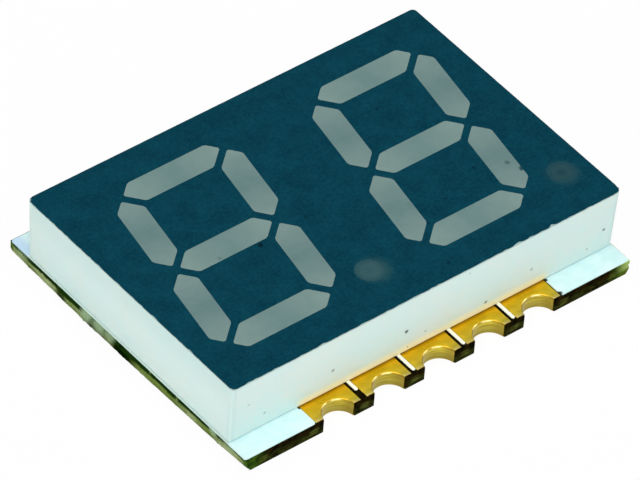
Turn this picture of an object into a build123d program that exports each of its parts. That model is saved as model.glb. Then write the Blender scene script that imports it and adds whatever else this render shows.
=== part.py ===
from build123d import *
import os
from math import atan2, cos, degrees, radians, sin, sqrt, tan

# Two digit seven segment display for surface mounting, in millimetres.
# X runs along the row of digits, Y up the digits and Z out of the face.
# The origin is under the middle of the display, on the plane of its solder lands.

# Digits, as they show on the face
digit_height = 10.0
digit_width = 6.28
digit_space = 3.52
digit_shift = -0.09
slant_angle = 10.0
stroke = 1.23
segment_gap = 0.33
corner_cut = 1.22
tip_cut = 0.07
point_diameter = 1.25
point_gap = 0.71

# Reflector housing and the ink on its face
face_margin = 1.53
housing_height = 3.02
wall_draft = 0.12
housing_corner = 0.2
ink_thickness = 0.02

# Light wells, whose floors are shares of their windows
well_length_share = 0.6
well_width_share = 0.8
well_point_share = 0.9

# Circuit board, scored from above and below at each short end and snapped off
side_ledge = 1.13
end_ledge = 0.11
board_thickness = 0.63
top_score_depth = 0.1
top_score_inset = 0.02
bottom_score_depth = 0.23
bottom_score_inset = 0.16

# Terminals: a land on top, a plated half hole in the board's edge and a land below.
# The router has taken the plate off along the very edge, and a little more than half of each hole.
terminals_per_side = 5
terminal_pitch = 2.54
land_gap = 0.26
land_thickness = 0.04
land_tuck = 0.5
land_setback = 0.06
solder_land_length = 2.0
hole_diameter = 1.58
hole_offset = 0.05

# Solder mask, with thin strips between the lands
mask_recess = 0.01
mask_edge = 0.04
mask_clearance = 0.06
mask_notch = 0.12
mask_corner_cut = 0.07
strip_bare_gap = 0.1
strip_clearance = 0.01
strip_end_gap = 0.14
strip_end_cut = 0.04
short_strip_share = 0.57

# Chips, their copper and their wires
chip_size = 0.28
chip_height = 0.15
trace_width = 0.45
pad_size = 0.4
copper_gap = 0.08
wire_thickness = 0.03
wire_rise = 0.2
wire_foot = 0.06
segment_bond_span = 0.8

# Heights of the layers, from the solder lands up
board_bottom = land_thickness
board_top = board_bottom + board_thickness
seat_z = board_top + land_thickness
face_z = seat_z + housing_height

# Places on the face that the pieces share
lean = tan(radians(slant_angle))
digit_pitch = digit_width + digit_space
half_digit_width = digit_width / 2
half_digit_height = digit_height / 2
node_u = half_digit_width - stroke / 2
node_v = half_digit_height - stroke / 2
side_v = node_v / 2
miter_slip = segment_gap / sqrt(2)
point_drop = half_digit_height - point_diameter / 2
point_offset = half_digit_width - point_drop * lean + point_gap + point_diameter / 2
point_bond_span = (trace_width + pad_size) / 2 + copper_gap
digit_middles = {
    "left_digit": digit_shift - digit_pitch / 2,
    "right_digit": digit_shift + digit_pitch / 2,
}

# Outlines of the housing and the board
face_length = len(digit_middles) * digit_pitch
face_width = digit_height + 2 * face_margin
seat_length = face_length - 2 * wall_draft
seat_width = face_width - 2 * wall_draft
seat_corner = housing_corner - wall_draft
draft_angle = degrees(atan2(wall_draft, housing_height))
board_length = seat_length + 2 * (end_ledge + top_score_inset)
board_width = seat_width + 2 * side_ledge

# Lands and the mask round them
land_width = terminal_pitch - land_gap
row_length = terminals_per_side * terminal_pitch - land_gap
top_land_length = side_ledge + land_tuck - land_setback
top_land_reach = land_setback + top_land_length
solder_land_reach = land_setback + solder_land_length
hole_radius = hole_diameter / 2
bore_radius = hole_radius - land_thickness
mask_thickness = land_thickness - mask_recess
strip_width = land_gap - strip_bare_gap - strip_clearance
strip_shift = (strip_bare_gap - strip_clearance) / 2

# Segment outlines of an upright digit about its middle, u to the right and v up.
# Ends are cut at 45 degrees, and the digit's own corners are cut off.
tip_in = (stroke - corner_cut - miter_slip) / 2
tip_out = (stroke - corner_cut + miter_slip) / 2
flat_u = node_u - miter_slip - stroke / 2
flat_v = node_v - miter_slip - stroke / 2
end_bar = [
    (-flat_u, half_digit_height - stroke),
    (flat_u, half_digit_height - stroke),
    (node_u + tip_in, node_v + tip_out),
    (half_digit_width - corner_cut, half_digit_height),
    (corner_cut - half_digit_width, half_digit_height),
    (-node_u - tip_in, node_v + tip_out),
]
side_bar = [
    (node_u, miter_slip),
    (half_digit_width, miter_slip + stroke / 2),
    (half_digit_width, half_digit_height - corner_cut),
    (node_u + tip_out, node_v + tip_in),
    (half_digit_width - stroke, flat_v),
    (half_digit_width - stroke, miter_slip + stroke / 2),
]
middle_bar = [
    (-flat_u, -stroke / 2),
    (flat_u, -stroke / 2),
    (node_u - miter_slip, 0),
    (flat_u, stroke / 2),
    (-flat_u, stroke / 2),
    (miter_slip - node_u, 0),
]

# Each segment: its outline, its mirroring in u and v, its chip and the way to its bond pad
along_u = (1, 0)
against_u = (-1, 0)
along_v = (sin(radians(slant_angle)), cos(radians(slant_angle)))
segments = {
    "segment_a": (end_bar, (1, 1), (0, node_v), along_u),
    "segment_b": (side_bar, (1, 1), (node_u, side_v), along_v),
    "segment_c": (side_bar, (1, -1), (node_u, -side_v), along_v),
    "segment_d": (end_bar, (1, -1), (0, -node_v), against_u),
    "segment_e": (side_bar, (-1, -1), (-node_u, -side_v), along_v),
    "segment_f": (side_bar, (-1, 1), (-node_u, side_v), along_v),
    "segment_g": (middle_bar, (1, 1), (0, 0), along_u),
}


def leaning(middle, u, v):
    """Return the place in X and Y of a point of the upright digit."""
    return (middle + u + v * lean, v)


def drawn_in(points, chip, along, length_share, width_share):
    """Draw an outline in towards its chip, with all its sides still running the same ways.

    The tips come in by the length share along the bar, and the rest follows them by the width share.
    """
    across = 1 - along
    low_tip = min(point[along] for point in points)
    high_tip = max(point[along] for point in points)
    drawn = []
    for point in points:
        tip = high_tip if point[along] > chip[along] else low_tip
        place = [0, 0]
        place[along] = chip[along] + (tip - chip[along]) * length_share + (point[along] - tip) * width_share
        place[across] = chip[across] + (point[across] - chip[across]) * width_share
        drawn.append(place)
    return drawn


def segment_outline(middle, segment, length_share, width_share, height):
    """Sketch a segment's outline, or the smaller one of its well's floor, on a plane at a height."""
    bar, (flip_u, flip_v), chip, way = segment
    along = 1 if bar is side_bar else 0
    points = [(flip_u * u, flip_v * v) for u, v in bar]
    points = drawn_in(points, chip, along, length_share, width_share)
    with BuildSketch(Plane.XY.offset(height)) as outline:
        with BuildLine():
            Polyline(*[leaning(middle, u, v) for u, v in points], close=True)
        make_face()
        chamfer(outline.vertices(), tip_cut * width_share)
    return outline.sketch


def point_outline(middle, diameter, height):
    """Sketch the round of a decimal point."""
    with BuildSketch(Plane.XY.offset(height)) as outline:
        with Locations((middle + point_offset, -point_drop)):
            Circle(diameter / 2)
    return outline.sketch


def segment_well(floor, window):
    """Make the space of a segment's light well, flat sided from its floor up to its window."""
    with BuildPart() as well:
        ConvexPolyhedron([tuple(corner) for corner in floor.vertices() + window.vertices()])
    return well.part


def point_well(floor, window):
    """Make the round space of a point's light well, from its floor up to its window."""
    with BuildPart() as well:
        loft(sections=[floor, window], ruled=True)
    return well.part


def chips(places):
    """Stand a chip at each place on the copper."""
    with BuildPart() as group:
        with BuildSketch(Plane.XY.offset(seat_z)):
            with Locations(*places):
                Rectangle(chip_size, chip_size)
        extrude(amount=chip_height)
    return group.part


def bond_wires(bonds):
    """Loop a wire from the top of each chip down to its bond pad."""
    with BuildPart() as group:
        for (x, y), (way_x, way_y), span in bonds:
            upright = Plane(origin=(x, y, seat_z), x_dir=(way_x, way_y, 0), z_dir=(way_y, -way_x, 0))
            loop_top = chip_height + wire_rise
            with BuildSketch(upright):
                with BuildLine():
                    Polyline(
                        (-wire_thickness / 2, chip_height),
                        (-wire_thickness / 2, loop_top),
                        (wire_thickness / 2, loop_top),
                        (span + wire_foot, wire_thickness),
                        (span + wire_foot, 0),
                        (span - wire_foot, 0),
                        (wire_thickness / 2, loop_top - 2 * wire_thickness),
                        (wire_thickness / 2, chip_height),
                        close=True,
                    )
                make_face()
            extrude(amount=wire_thickness / 2, both=True)
    return group.part


def common_land(middle, margin, thickness):
    """Lay the copper under one digit's chips, or the room for it in the mask, wider by a margin."""
    half_strip = trace_width / 2 + margin
    point_chip_x = middle + point_offset - point_bond_span / 2
    spine = [(-half_strip, -node_v), (half_strip, -node_v), (half_strip, node_v), (-half_strip, node_v)]
    with BuildPart() as copper:
        with BuildSketch(Plane.XY.offset(board_top)):
            with BuildLine():
                Polyline(*[leaning(middle, u, v) for u, v in spine], close=True)
            make_face()
            with Locations(leaning(middle, 0, node_v), leaning(middle, 0, -node_v)):
                Rectangle(2 * half_strip, 2 * half_strip)
            with Locations(leaning(middle, 0, side_v), leaning(middle, 0, -side_v)):
                Rectangle(2 * (node_u + half_strip), 2 * half_strip)
            with Locations((point_chip_x + half_strip, -point_drop)):
                run = point_chip_x - leaning(middle, 0, -point_drop)[0] + half_strip
                Rectangle(run, 2 * half_strip, align=(Align.MAX, Align.CENTER))
        extrude(amount=thickness)
    return copper.part


def bond_pads(bonds, margin, thickness):
    """Lay the pads where one digit's wires end, or the room for them in the mask."""
    places = [(x + way_x * span, y + way_y * span) for (x, y), (way_x, way_y), span in bonds]
    with BuildPart() as copper:
        with BuildSketch(Plane.XY.offset(board_top)):
            with Locations(*places):
                Rectangle(pad_size + 2 * margin, pad_size + 2 * margin)
        extrude(amount=thickness)
    return copper.part


def casting(well, window, chip_group, wire_group):
    """Cast a well full of epoxy up to the top of the ink, round the chip and the wire in it."""
    with BuildPart() as epoxy:
        add(well)
        extrude(window, amount=ink_thickness)
        add(chip_group, mode=Mode.SUBTRACT)
        add(wire_group, mode=Mode.SUBTRACT)
    return epoxy.part


def terminal(x, side):
    """Plate one terminal at x on the front (-1) or back (1) edge of the board."""
    inward = (Align.CENTER, Align.MIN if side < 0 else Align.MAX)
    hole = (x, side * (board_width / 2 + hole_offset))
    brink = (x, side * (board_width / 2 - land_setback))
    with BuildPart() as gold:
        with BuildSketch(Plane.XY):
            with Locations(brink):
                Rectangle(land_width, solder_land_length, align=inward)
            with Locations(hole):
                Circle(bore_radius, mode=Mode.SUBTRACT)
        extrude(amount=land_thickness)
        with BuildSketch(Plane.XY.offset(board_bottom)):
            with Locations(hole):
                Circle(hole_radius)
                Circle(bore_radius, mode=Mode.SUBTRACT)
            with Locations(brink):
                Rectangle(hole_diameter, hole_radius, align=inward, mode=Mode.INTERSECT)
        extrude(amount=board_thickness)
        with BuildSketch(Plane.XY.offset(board_top)):
            with Locations(brink):
                Rectangle(land_width, top_land_length, align=inward)
            with Locations(hole):
                Circle(bore_radius, mode=Mode.SUBTRACT)
        extrude(amount=land_thickness)
    return gold.part


pieces = {}

# Light wells and windows of both digits, with the chips and wires that stand in them
wells = []
windows = []
copper_room = []
for digit, middle in digit_middles.items():
    bonds = []
    digit_wells = {}
    for name, segment in segments.items():
        window = segment_outline(middle, segment, 1, 1, face_z)
        floor = segment_outline(middle, segment, well_length_share, well_width_share, seat_z)
        digit_wells[name] = (segment_well(floor, window), window)
        bonds.append((leaning(middle, *segment[2]), segment[3], segment_bond_span))
    window = point_outline(middle, point_diameter, face_z)
    floor = point_outline(middle, point_diameter * well_point_share, seat_z)
    digit_wells["point"] = (point_well(floor, window), window)
    point_chip = (middle + point_offset - point_bond_span / 2, -point_drop)
    bonds.append((point_chip, along_u, point_bond_span))

    chip_group = chips([place for place, way, span in bonds])
    wire_group = bond_wires(bonds)
    pieces[f"{digit}_common_land"] = common_land(middle, 0, land_thickness)
    pieces[f"{digit}_bond_pads"] = bond_pads(bonds, 0, land_thickness)
    pieces[f"{digit}_led_chips"] = chip_group
    pieces[f"{digit}_bond_wires"] = wire_group
    for name, (well, window) in digit_wells.items():
        pieces[f"{digit}_{name}"] = casting(well, window, chip_group, wire_group)
        wells.append(well)
        windows.append(window)
    copper_room.append(common_land(middle, mask_clearance, mask_thickness))
    copper_room.append(bond_pads(bonds, mask_clearance, mask_thickness))

# White moulding, a little smaller at the board than at the face, with all the wells through it
with BuildPart() as reflector_housing:
    with BuildSketch(Plane.XY.offset(seat_z)):
        RectangleRounded(seat_length, seat_width, seat_corner)
    extrude(amount=housing_height, taper=-draft_angle)
    for well in wells:
        add(well, mode=Mode.SUBTRACT)
pieces["reflector_housing"] = reflector_housing.part

# Dark ink on the face, open at every window
with BuildPart() as face_ink:
    with BuildSketch(Plane.XY.offset(face_z)):
        RectangleRounded(face_length, face_width, housing_corner)
    extrude(amount=ink_thickness)
    for window in windows:
        extrude(window, amount=ink_thickness, mode=Mode.SUBTRACT)
pieces["face_ink"] = face_ink.part

# Laminate with a snapped score along each short end and half holes along the long edges
half_board = board_length / 2
half_top = half_board - top_score_inset
half_bottom = half_board - bottom_score_inset
with BuildPart() as circuit_board:
    with BuildSketch(Plane.XZ):
        with BuildLine():
            Polyline(
                (-half_bottom, board_bottom),
                (half_bottom, board_bottom),
                (half_board, board_bottom + bottom_score_depth),
                (half_board, board_top - top_score_depth),
                (half_top, board_top),
                (-half_top, board_top),
                (-half_board, board_top - top_score_depth),
                (-half_board, board_bottom + bottom_score_depth),
                close=True,
            )
        make_face()
    extrude(amount=board_width / 2, both=True)
    with BuildSketch(Plane.XY.offset(board_bottom)):
        with GridLocations(terminal_pitch, board_width + 2 * hole_offset, terminals_per_side, 2):
            Circle(hole_radius)
    extrude(amount=board_thickness, mode=Mode.SUBTRACT)
pieces["circuit_board"] = circuit_board.part

# White mask on top, open along the lands but for a thin strip in each gap, and over the copper.
# It meets the end lands closely, apart from a notch at the foot of the housing.
mask_width = board_width - 2 * mask_edge
mask_row_length = row_length + 2 * mask_clearance
top_row_length = row_length + 2 * strip_clearance
strip_reach = side_ledge - strip_end_gap
strip_root = board_width / 2 - top_land_reach - 2 * mask_clearance
with BuildPart() as top_solder_mask:
    with BuildSketch(Plane.XY.offset(board_top)) as mask:
        Rectangle(2 * (half_top - mask_edge), mask_width)
        with GridLocations(0, board_width, 1, 2):
            Rectangle(top_row_length, 2 * (top_land_reach + mask_clearance), mode=Mode.SUBTRACT)
        chamfer(mask.vertices().filter_by(lambda corner: abs(corner.Y) > seat_width / 2), mask_corner_cut)
        with GridLocations(0, seat_width, 1, 2):
            Rectangle(mask_row_length, 2 * mask_notch, mode=Mode.SUBTRACT)
        for side in (-1, 1):
            for gap in range(1, terminals_per_side):
                share = short_strip_share if (side, gap) == (-1, 1) else 1
                strip_x = (gap - terminals_per_side / 2) * terminal_pitch + strip_shift
                strip_tip = side * (seat_width / 2 + strip_reach * share)
                strip_shoulder = strip_tip - side * strip_end_cut
                with BuildLine():
                    Polyline(
                        (strip_x - strip_width / 2, side * strip_root),
                        (strip_x - strip_width / 2, strip_shoulder),
                        (strip_x - strip_width / 2 + strip_end_cut, strip_tip),
                        (strip_x + strip_width / 2 - strip_end_cut, strip_tip),
                        (strip_x + strip_width / 2, strip_shoulder),
                        (strip_x + strip_width / 2, side * strip_root),
                        close=True,
                    )
                make_face()
    extrude(amount=mask_thickness)
    for room in copper_room:
        add(room, mode=Mode.SUBTRACT)
pieces["top_solder_mask"] = top_solder_mask.part

# Mask on the underside, thinner than the lands so that they alone meet the solder
with BuildPart() as bottom_solder_mask:
    with BuildSketch(Plane.XY.offset(board_bottom)) as mask:
        Rectangle(2 * (half_bottom - mask_edge), mask_width)
        with GridLocations(0, board_width, 1, 2):
            Rectangle(mask_row_length, 2 * (solder_land_reach + mask_clearance), mode=Mode.SUBTRACT)
        chamfer(mask.vertices(), mask_corner_cut)
    extrude(amount=-mask_thickness)
pieces["bottom_solder_mask"] = bottom_solder_mask.part

# Ten terminals, numbered along the front from the left and back along the rear from the right
for place in range(terminals_per_side):
    x = (place - (terminals_per_side - 1) / 2) * terminal_pitch
    pieces[f"terminal_{place + 1}"] = terminal(x, -1)
    pieces[f"terminal_{2 * terminals_per_side - place}"] = terminal(x, 1)

os.makedirs("parts", exist_ok=True)
for name, piece in pieces.items():
    piece.label = name
    export_step(piece, f"parts/{name}.step")
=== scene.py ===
"""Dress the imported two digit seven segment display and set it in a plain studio.

Lengths are in millimetres, and become metres where they meet Blender's scene.
"""
import logging
from collections.abc import Callable, Iterator
from contextlib import contextmanager
from dataclasses import dataclass, field
from enum import Enum
from functools import cache
from math import copysign, cos, pi, radians, sin, sqrt

import bmesh
import bpy
from mathutils import Color, Matrix, Quaternion, Vector, noise


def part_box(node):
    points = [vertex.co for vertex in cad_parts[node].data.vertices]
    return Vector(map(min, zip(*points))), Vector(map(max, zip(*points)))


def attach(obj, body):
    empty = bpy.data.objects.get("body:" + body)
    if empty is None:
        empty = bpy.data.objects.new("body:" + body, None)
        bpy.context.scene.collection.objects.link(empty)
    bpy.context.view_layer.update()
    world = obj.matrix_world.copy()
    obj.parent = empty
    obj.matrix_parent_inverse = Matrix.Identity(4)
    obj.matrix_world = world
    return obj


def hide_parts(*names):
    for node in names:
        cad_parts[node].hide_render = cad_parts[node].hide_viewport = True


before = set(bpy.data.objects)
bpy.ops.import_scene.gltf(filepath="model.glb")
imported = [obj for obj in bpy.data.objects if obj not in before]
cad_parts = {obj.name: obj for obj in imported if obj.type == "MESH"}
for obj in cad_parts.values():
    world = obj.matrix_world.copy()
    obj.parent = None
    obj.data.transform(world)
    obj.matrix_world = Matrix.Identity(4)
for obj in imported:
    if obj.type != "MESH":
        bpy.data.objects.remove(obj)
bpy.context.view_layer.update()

log = logging.getLogger("display")

MM = 0.001
TOP_LEVEL = 255
BODY = "root"
RIGHT = (1.0, 0.0, 0.0)
BACK = (0.0, 1.0, 0.0)
UP = (0.0, 0.0, 1.0)
SLANT = radians(10.0)
LEANING = (sin(SLANT), cos(SLANT), 0.0)
DIGITS = ("left_digit", "right_digit")
HALF_PITCH = 1.27
FACE_HEIGHT = 3.75
LEFT_END = -9.8
FRONT_FOOT = -6.41
FRONT_LEAN = 0.0397
FOOT_HEIGHT = 0.71

# Places of the colour sockets on Blender's Mix node
FIRST_COLOUR = 6
SECOND_COLOUR = 7
MIXED_COLOUR = 2

# Most of a soft noise lies between these values
NOISE_SPAN = (0.3, 0.7)
FINE_DETAIL = 3.0

# A scattered speck's least size and its sharp heart, as shares
LEAST_SPECK_SHARE = 0.3
SPECK_HEART_SHARE = 0.4

# The ragged edge of a spot: its grain, its least size and its sharp heart, as shares
RAGGED_GRAIN = 0.06
LEAST_SPOT_SHARE = 0.5
SPOT_HEART_SHARE = 0.3

Colour = tuple[float, float, float, float]
Triple = tuple[float, float, float]
Span = tuple[float, float]
Stops = tuple[tuple[float, Colour], ...]
Socket = bpy.types.NodeSocket
Tree = bpy.types.NodeTree
Material = bpy.types.Material
Piece = bpy.types.Object
Source = Socket | float | Triple | Colour
EdgeTest = Callable[[Vector, Vector], bool]


def paint(code: str) -> Colour:
    """Turn a colour as it shows on a screen into Blender's linear one.

    Args:
        code: Six hexadecimal digits, red first.

    Returns:
        The linear colour, fully opaque.
    """
    shares = [level / TOP_LEVEL for level in bytes.fromhex(code)]
    return (*Color(shares).from_srgb_to_scene_linear(), 1.0)


def box_of(node: str) -> tuple[Vector, Vector]:
    """Return the lowest and the highest corner of a CAD node, in millimetres."""
    low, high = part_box(node)
    return low / MM, high / MM


def inward(place: Vector, heart: Vector) -> Vector:
    """Point from a place on a rounded outline straight in from that outline.

    Args:
        place: A place on the outline.
        heart: The half length and half width of the rectangle that the outline is rounded about.

    Returns:
        A level direction, one long.
    """
    nearest = place.copy()
    nearest.x = max(-heart.x, min(heart.x, place.x))
    nearest.y = max(-heart.y, min(heart.y, place.y))
    return (nearest - place).normalized()


class SocketKind(Enum):
    """The kinds of socket that the shared groups have."""

    VALUE = "NodeSocketFloat"
    PLACE = "NodeSocketVector"
    COLOUR = "NodeSocketColor"


class NodeBench:
    """A node tree that is being wired."""

    def __init__(self, tree: Tree) -> None:
        """Start on the tree of a material, a world or a group."""
        self.tree = tree

    def add(self, kind: str, **settings: object) -> bpy.types.Node:
        """Add a node.

        Args:
            kind: Blender's name of the node.
            **settings: Properties of the node to set.

        Returns:
            The new node.
        """
        node = self.tree.nodes.new(kind)
        for name, value in settings.items():
            setattr(node, name, value)
        return node

    def feed(self, socket: Socket, source: Source) -> None:
        """Wire a socket to an output, or set its value.

        Args:
            socket: The input to feed.
            source: The output that feeds it, or a plain value.
        """
        if isinstance(source, Socket):
            self.tree.links.new(source, socket)
        else:
            socket.default_value = source

    def sum_up(self, operation: str, first: Source, second: Source = 0.0) -> Socket:
        """Work out one sum.

        Args:
            operation: Blender's name of the operation.
            first: The first term.
            second: The second term.

        Returns:
            The result.
        """
        node = self.add("ShaderNodeMath", operation=operation)
        self.feed(node.inputs[0], first)
        self.feed(node.inputs[1], second)
        return node.outputs[0]

    def both(self, first: Socket, *others: Source) -> Socket:
        """Join masks, so that only places that all of them mark are marked.

        Args:
            first: The first mask.
            *others: The other masks.

        Returns:
            The joint mask.
        """
        for other in others:
            first = self.sum_up("MULTIPLY", first, other)
        return first

    def blend(self, share: Source, first: Source, second: Source) -> Socket:
        """Mix two colours.

        Args:
            share: How much of the second colour shows.
            first: The first colour.
            second: The second colour.

        Returns:
            The mixed colour.
        """
        node = self.add("ShaderNodeMix", data_type="RGBA")
        self.feed(node.inputs[0], share)
        self.feed(node.inputs[FIRST_COLOUR], first)
        self.feed(node.inputs[SECOND_COLOUR], second)
        return node.outputs[MIXED_COLOUR]

    def rise(
        self, value: Source, span: tuple[Source, Source], low: float = 0.0, high: float = 1.0,
    ) -> Socket:
        """Turn a value into a smooth step.

        Args:
            value: The value to read.
            span: Where the step starts and where it ends.
            low: What the result is at the start.
            high: What the result is at the end.

        Returns:
            The stepped value.
        """
        node = self.add("ShaderNodeMapRange", interpolation_type="SMOOTHSTEP")
        start, end = span
        sources = {"Value": value, "From Min": start, "From Max": end, "To Min": low, "To Max": high}
        for name, source in sources.items():
            self.feed(node.inputs[name], source)
        return node.outputs["Result"]

    def ramp(self, value: Source, stops: Stops) -> Socket:
        """Turn a value into a colour that runs from stop to stop.

        Args:
            value: The value to read, from zero to one.
            stops: Each stop's value and its colour.

        Returns:
            The colour.
        """
        node = self.add("ShaderNodeValToRGB")
        row = node.color_ramp.elements
        row.remove(row[1])
        row[0].position, row[0].color = stops[0]
        for place, colour in stops[1:]:
            row.new(place).color = colour
        self.feed(node.inputs[0], value)
        return node.outputs[0]

    def grain(self, place: Source, size: Source, detail: float = 2.0) -> Socket:
        """Add soft noise.

        Args:
            place: The coordinates to read.
            size: The size of one grain.
            detail: How many finer layers the noise has.

        Returns:
            The noise, about one half all over.
        """
        node = self.add("ShaderNodeTexNoise")
        self.feed(node.inputs["Vector"], place)
        self.feed(node.inputs["Scale"], self.sum_up("DIVIDE", 1.0, size))
        self.feed(node.inputs["Detail"], detail)
        return node.outputs[0]

    def stretch(self, place: Source, shares: Triple) -> Socket:
        """Scale coordinates along each axis.

        Args:
            place: The coordinates to scale.
            shares: The scale along X, Y and Z.

        Returns:
            The scaled coordinates.
        """
        node = self.add("ShaderNodeMapping")
        self.feed(node.inputs["Vector"], place)
        self.feed(node.inputs["Scale"], shares)
        return node.outputs["Vector"]

    def reckon(self, operation: str, first: Source, second: Source, result: str = "Vector") -> Socket:
        """Work out one sum on coordinates.

        Args:
            operation: Blender's name of the operation.
            first: The first coordinates.
            second: The second coordinates.
            result: The name of the output to read.

        Returns:
            The result.
        """
        node = self.add("ShaderNodeVectorMath", operation=operation)
        self.feed(node.inputs[0], first)
        self.feed(node.inputs[1], second)
        return node.outputs[result]


class GroupBench(NodeBench):
    """A shared shader node group that is being wired."""

    def __init__(self, name: str) -> None:
        """Start an empty group.

        Args:
            name: The name of the group.
        """
        super().__init__(bpy.data.node_groups.new(name, "ShaderNodeTree"))
        self.entry = self.add("NodeGroupInput")
        self.exit = self.add("NodeGroupOutput")

    def take(self, name: str, kind: SocketKind) -> Socket:
        """Add a named input to the group and return its socket inside."""
        self.tree.interface.new_socket(name=name, in_out="INPUT", socket_type=kind.value)
        return self.entry.outputs[name]

    def give(self, name: str, kind: SocketKind, source: Socket) -> None:
        """Add a named output to the group and wire it."""
        self.tree.interface.new_socket(name=name, in_out="OUTPUT", socket_type=kind.value)
        self.feed(self.exit.inputs[name], source)


@cache
def mottle_group() -> Tree:
    """Build the effect that wanders between two colours in soft grains.

    Returns:
        A group with inputs Place, Grain, First and Second and the output Color.
    """
    group = GroupBench("Mottle")
    place = group.take("Place", SocketKind.PLACE)
    size = group.take("Grain", SocketKind.VALUE)
    first = group.take("First", SocketKind.COLOUR)
    second = group.take("Second", SocketKind.COLOUR)
    value = group.rise(group.grain(place, size, FINE_DETAIL), NOISE_SPAN)
    group.give("Color", SocketKind.COLOUR, group.blend(value, first, second))
    return group.tree


@cache
def dust_group() -> Tree:
    """Build the effect that scatters small round specks, a few cells of it holding one.

    Returns:
        A group with inputs Place, Spacing, Radius and Share and the output Mask.
    """
    group = GroupBench("Dust")
    place = group.take("Place", SocketKind.PLACE)
    spacing = group.take("Spacing", SocketKind.VALUE)
    radius = group.take("Radius", SocketKind.VALUE)
    share = group.take("Share", SocketKind.VALUE)
    cells = group.add("ShaderNodeTexVoronoi")
    group.feed(cells.inputs["Vector"], place)
    group.feed(cells.inputs["Scale"], group.sum_up("DIVIDE", 1.0, spacing))
    across = group.sum_up("MULTIPLY", cells.outputs["Distance"], spacing)
    lot = group.add("ShaderNodeSeparateColor")
    group.feed(lot.inputs[0], cells.outputs["Color"])
    size = group.sum_up("ADD", lot.outputs["Green"], LEAST_SPECK_SHARE)
    own_radius = group.sum_up("MULTIPLY", radius, size)
    speck = group.rise(across, (own_radius, group.sum_up("MULTIPLY", own_radius, SPECK_HEART_SHARE)))
    chosen = group.sum_up("LESS_THAN", lot.outputs["Red"], share)
    group.give("Mask", SocketKind.VALUE, group.both(speck, chosen))
    return group.tree


@cache
def spot_group() -> Tree:
    """Build the effect that marks one round spot.

    Returns:
        A group with inputs Place, Centre, Radius and Depth and the output Mask.
    """
    group = GroupBench("Spot")
    place = group.take("Place", SocketKind.PLACE)
    centre = group.take("Centre", SocketKind.PLACE)
    radius = group.take("Radius", SocketKind.VALUE)
    depth = group.take("Depth", SocketKind.VALUE)
    gap = group.reckon("DISTANCE", place, centre, "Value")
    uneven = group.sum_up("ADD", group.grain(place, RAGGED_GRAIN), LEAST_SPOT_SHARE)
    ragged = group.sum_up("MULTIPLY", uneven, radius)
    mask = group.rise(gap, (ragged, group.sum_up("MULTIPLY", ragged, SPOT_HEART_SHARE)))
    group.give("Mask", SocketKind.VALUE, group.both(mask, depth))
    return group.tree


@dataclass(frozen=True)
class Spot:
    """One speck that shows on a surface: where it is, how wide and how dark."""

    centre: Triple
    radius: float
    depth: float


def front_spot(x: float, z: float, radius: float, depth: float) -> Spot:
    """Return a spot on the leaning front wall of the housing, at a place along it and a height."""
    return Spot((x, FRONT_FOOT - FRONT_LEAN * (z - FOOT_HEIGHT), z), radius, depth)


def face_spot(x: float, y: float, radius: float, depth: float) -> Spot:
    """Return a spot on the face of the display."""
    return Spot((x, y, FACE_HEIGHT), radius, depth)


def end_spot(y: float, z: float, radius: float, depth: float) -> Spot:
    """Return a spot on the left end of the board, at a place across it and a height."""
    return Spot((LEFT_END, y, z), radius, depth)


@dataclass(frozen=True)
class Dust:
    """Scattered specks: their spacing, their size, the share of cells that hold one, and their colour."""

    spacing: float
    radius: float
    share: float
    colour: Colour


@dataclass(frozen=True)
class Roughness:
    """Roughness that wanders between two values, in patches of a size."""

    patch: float
    low: float
    high: float


@dataclass(frozen=True)
class Relief:
    """A fine grain that stands up from a surface: its size, its height and its finer layers."""

    size: float
    height: float
    detail: float = 2.0


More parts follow.
